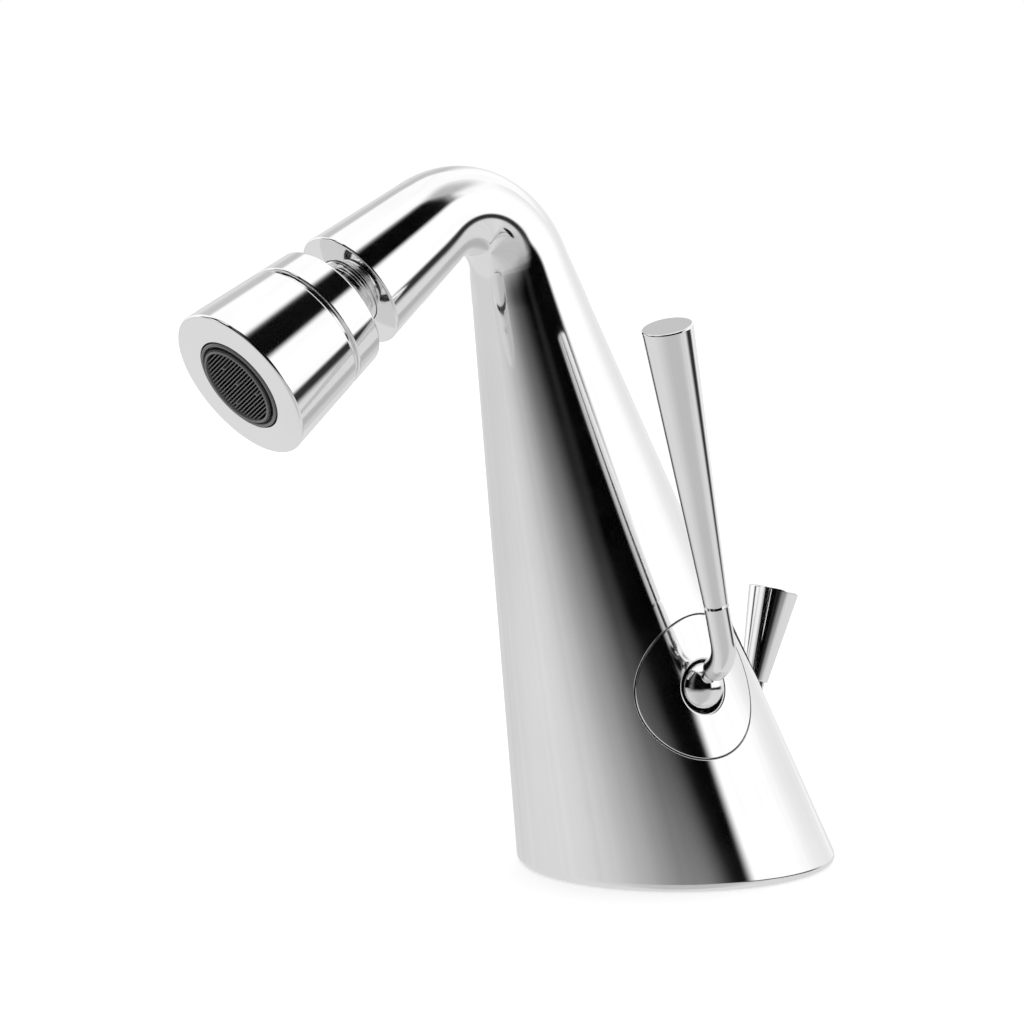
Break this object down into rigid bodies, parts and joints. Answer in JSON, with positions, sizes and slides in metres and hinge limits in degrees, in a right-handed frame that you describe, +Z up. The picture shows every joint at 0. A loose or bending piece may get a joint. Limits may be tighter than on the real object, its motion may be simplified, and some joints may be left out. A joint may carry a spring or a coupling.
{
  "type": "bidet mixer",
  "caption": "Single-lever chrome bidet mixer: a leaning cone that bends over into a flared spout with a swivelling ball-joint head, a side lever and a pop-up waste knob behind.",
  "frame": {"origin": "mouth of the fixing stud's threaded hole, on the deck plane, where the cone's axis meets the deck", "axes": "+Z up, -Y the way the spout points, +X the lever's side"},
  "size_m": [0.0844, 0.1657, 0.1575],
  "materials": {
    "chrome": "polished plate",
    "brass": "turned",
    "black_plastic": "moulded",
    "white_plastic": "moulded",
    "ceramic": "lapped",
    "rubber": "matte"
  },
  "bodies": {
    "root": {"body": "chrome", "base_seal": "rubber", "cartridge_cover": "chrome", "retaining_nut": "brass", "cartridge_housing": "white_plastic", "cartridge_base": "white_plastic", "port_seals": "rubber", "fixed_disc": "ceramic", "swivel_nipple": "chrome", "rod_bush": "brass", "rod_seal": "rubber"},
    "rotor": {"lever_rotor": "black_plastic"},
    "lever": {"lever_ball": "chrome", "lever_elbow": "chrome", "handle_stud": "brass", "lever_handle": "chrome"},
    "slider": {"disc_carrier": "white_plastic", "moving_disc": "ceramic"},
    "liner": {"ball_liner": "white_plastic"},
    "seat": {"ball_seat": "white_plastic"},
    "head": {"swivel_collar": "chrome", "swivel_head": "chrome", "aerator_seal": "rubber", "flow_plate": "black_plastic", "aerator_housing": "black_plastic", "aerator_grid": "black_plastic"},
    "lift": {"lift_rod": "chrome", "lift_knob": "chrome"}
  },
  "joints": [
    {"name": "lever_turn", "type": "hinge", "parent": "root", "child": "rotor", "pos_m": [0.0254, -0.01474, 0.04484], "axis": [1, 0, 0], "range_deg": [-45, 45]},
    {"name": "lever_lift", "type": "hinge", "parent": "rotor", "child": "lever", "pos_m": [0.0254, -0.01474, 0.04484], "axis": [0, 0.95, 0.3123], "range_deg": [0, 20]},
    {"name": "disc_slide", "type": "slide", "parent": "rotor", "child": "slider", "axis": [0, -0.3123, 0.95], "range_m": [0, 0.0049]},
    {"name": "head_pitch", "type": "hinge", "parent": "root", "child": "liner", "pos_m": [0, -0.09936, 0.12528], "axis": [1, 0, 0], "range_deg": [-10, 10]},
    {"name": "head_yaw", "type": "hinge", "parent": "liner", "child": "seat", "pos_m": [0, -0.09936, 0.12528], "axis": [0, -0.5563, 0.831], "range_deg": [-10, 10]},
    {"name": "head_spin", "type": "hinge", "parent": "seat", "child": "head", "pos_m": [0, -0.09936, 0.12528], "axis": [0, -0.831, -0.5563], "continuous": true},
    {"name": "rod_lift", "type": "slide", "parent": "root", "child": "lift", "axis": [0, 0.279, 0.9603], "range_m": [-0.004, 0.01]}
  ],
  "couplings": [
    {"joint": "disc_slide", "follows": "lever_lift", "m_per_rad": 0.013929}
  ]
}
